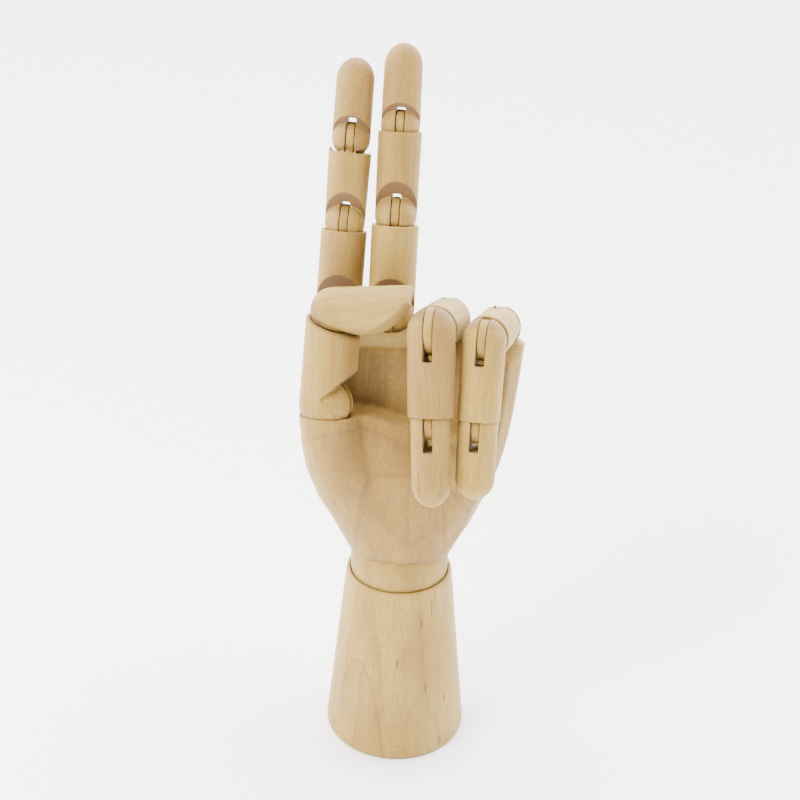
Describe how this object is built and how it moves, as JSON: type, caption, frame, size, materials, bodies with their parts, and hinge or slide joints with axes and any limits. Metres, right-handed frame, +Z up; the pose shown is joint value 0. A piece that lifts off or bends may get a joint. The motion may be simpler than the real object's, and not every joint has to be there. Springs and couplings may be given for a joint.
{
  "type": "articulated artist's hand",
  "caption": "Jointed wooden artist's hand on a turned tapered base: palm on a sprung ball wrist, with pinned finger and thumb joints that hold a pose.",
  "frame": {"origin": "centre of the base's flat foot, on the surface that it stands on", "axes": "+Z up the base's axis; the palm side faces -Y and the thumb is on the -X side"},
  "size_m": [0.0892, 0.0979, 0.2852],
  "materials": {
    "base_wood": "sanded, unvarnished, faint grain",
    "palm_wood": "sanded, unvarnished, visible growth rings",
    "finger_wood": "sanded, unvarnished",
    "tongue_wood": "sanded, unvarnished",
    "steel_wire": "drawn wire"
  },
  "bodies": {
    "base": {"base_cone": "base_wood", "base_plug": "base_wood", "spring_anchor_pin": "steel_wire"},
    "wrist_link": {"wrist_spring": "steel_wire", "wrist_link": "steel_wire"},
    "wrist": {"wrist_ball": "palm_wood"},
    "palm": {"palm": "palm_wood", "palm_eye_screw": "steel_wire", "index_proximal_tongue": "tongue_wood", "middle_proximal_tongue": "tongue_wood", "ring_proximal_tongue": "tongue_wood", "pinky_proximal_tongue": "tongue_wood", "thumb_proximal_tongue": "tongue_wood"},
    "index_proximal": {"index_proximal": "finger_wood", "index_proximal_pin": "steel_wire", "index_middle_tongue": "tongue_wood"},
    "index_middle": {"index_middle": "finger_wood", "index_middle_pin": "steel_wire", "index_distal_tongue": "tongue_wood"},
    "index_distal": {"index_distal": "finger_wood", "index_distal_pin": "steel_wire"},
    "middle_proximal": {"middle_proximal": "finger_wood", "middle_proximal_pin": "steel_wire", "middle_middle_tongue": "tongue_wood"},
    "middle_middle": {"middle_middle": "finger_wood", "middle_middle_pin": "steel_wire", "middle_distal_tongue": "tongue_wood"},
    "middle_distal": {"middle_distal": "finger_wood", "middle_distal_pin": "steel_wire"},
    "ring_proximal": {"ring_proximal": "finger_wood", "ring_proximal_pin": "steel_wire", "ring_middle_tongue": "tongue_wood"},
    "ring_middle": {"ring_middle": "finger_wood", "ring_middle_pin": "steel_wire", "ring_distal_tongue": "tongue_wood"},
    "ring_distal": {"ring_distal": "finger_wood", "ring_distal_pin": "steel_wire"},
    "pinky_proximal": {"pinky_proximal": "finger_wood", "pinky_proximal_pin": "steel_wire", "pinky_middle_tongue": "tongue_wood"},
    "pinky_middle": {"pinky_middle": "finger_wood", "pinky_middle_pin": "steel_wire", "pinky_distal_tongue": "tongue_wood"},
    "pinky_distal": {"pinky_distal": "finger_wood", "pinky_distal_pin": "steel_wire"},
    "thumb_proximal": {"thumb_proximal": "finger_wood", "thumb_proximal_pin": "steel_wire", "thumb_distal_tongue": "tongue_wood"},
    "thumb_distal": {"thumb_distal": "finger_wood", "thumb_distal_pin": "steel_wire"}
  },
  "joints": [
    {"name": "wrist_turn", "type": "hinge", "parent": "base", "child": "wrist_link", "pos_m": [0, 0, 0.0837], "axis": [0, 0, 1], "range_deg": [-45, 45]},
    {"name": "wrist_nod", "type": "hinge", "parent": "wrist_link", "child": "wrist", "pos_m": [0, 0, 0.0837], "axis": [0.9986, -0.0523, 0], "range_deg": [-2, 31]},
    {"name": "wrist_sway", "type": "hinge", "parent": "wrist", "child": "palm", "pos_m": [0, 0, 0.0837], "axis": [0.0506, 0.9646, -0.2588], "range_deg": [-8, 8]},
    {"name": "index_knuckle", "type": "hinge", "parent": "palm", "child": "index_proximal", "pos_m": [-0.02778, 0.02786, 0.18211], "axis": [0.9972, -0.0631, -0.0404], "range_deg": [-20, 18]},
    {"name": "index_middle_joint", "type": "hinge", "parent": "index_proximal", "child": "index_middle", "pos_m": [-0.02576, 0.03721, 0.21733], "axis": [0.9972, -0.0631, -0.0404], "range_deg": [-10, 78]},
    {"name": "index_tip_joint", "type": "hinge", "parent": "index_middle", "child": "index_distal", "pos_m": [-0.02393, 0.04566, 0.24918], "axis": [0.9972, -0.0631, -0.0404], "range_deg": [-8, 62]},
    {"name": "middle_knuckle", "type": "hinge", "parent": "palm", "child": "middle_proximal", "pos_m": [-0.0065, 0.02694, 0.18283], "axis": [0.9984, -0.055, -0.0101], "range_deg": [-20, 18]},
    {"name": "middle_middle_joint", "type": "hinge", "parent": "middle_proximal", "child": "middle_middle", "pos_m": [-0.00555, 0.03713, 0.22098], "axis": [0.9984, -0.055, -0.0101], "range_deg": [-10, 84]},
    {"name": "middle_tip_joint", "type": "hinge", "parent": "middle_middle", "child": "middle_distal", "pos_m": [-0.00472, 0.0461, 0.2546], "axis": [0.9984, -0.055, -0.0101], "range_deg": [-8, 62]},
    {"name": "ring_knuckle", "type": "hinge", "parent": "palm", "child": "ring_proximal", "pos_m": [0.01666, 0.02547, 0.18189], "axis": [0.9809, -0.191, 0.0374], "range_deg": [-97, 1]},
    {"name": "ring_middle_joint", "type": "hinge", "parent": "ring_proximal", "child": "ring_middle", "pos_m": [0.00939, -0.00974, 0.19256], "axis": [0.9801, -0.1727, 0.0974], "range_deg": [-91, 2]},
    {"name": "ring_tip_joint", "type": "hinge", "parent": "ring_middle", "child": "ring_distal", "pos_m": [0.01011, -0.02354, 0.16084], "axis": [0.9801, -0.1727, 0.0974], "range_deg": [-10, 15]},
    {"name": "pinky_knuckle", "type": "hinge", "parent": "palm", "child": "pinky_proximal", "pos_m": [0.0372, 0.02384, 0.17982], "axis": [0.9747, -0.219, 0.0449], "range_deg": [-99, 0.5]},
    {"name": "pinky_middle_joint", "type": "hinge", "parent": "pinky_proximal", "child": "pinky_middle", "pos_m": [0.02955, -0.00835, 0.18885], "axis": [0.9747, -0.219, 0.0449], "range_deg": [-90, 2]},
    {"name": "pinky_tip_joint", "type": "hinge", "parent": "pinky_middle", "child": "pinky_distal", "pos_m": [0.02821, -0.0206, 0.15824], "axis": [0.9747, -0.219, 0.0449], "range_deg": [-10, 26]},
    {"name": "thumb_knuckle", "type": "hinge", "parent": "palm", "child": "thumb_proximal", "pos_m": [-0.03032, -0.0054, 0.15811], "axis": [-0.2206, -0.9292, 0.2964], "range_deg": [0, 30]},
    {"name": "thumb_tip_joint", "type": "hinge", "parent": "thumb_proximal", "child": "thumb_distal", "pos_m": [-0.02792, 0.00518, 0.19306], "axis": [-0.2206, -0.9292, 0.2964], "range_deg": [0, 84]}
  ]
}
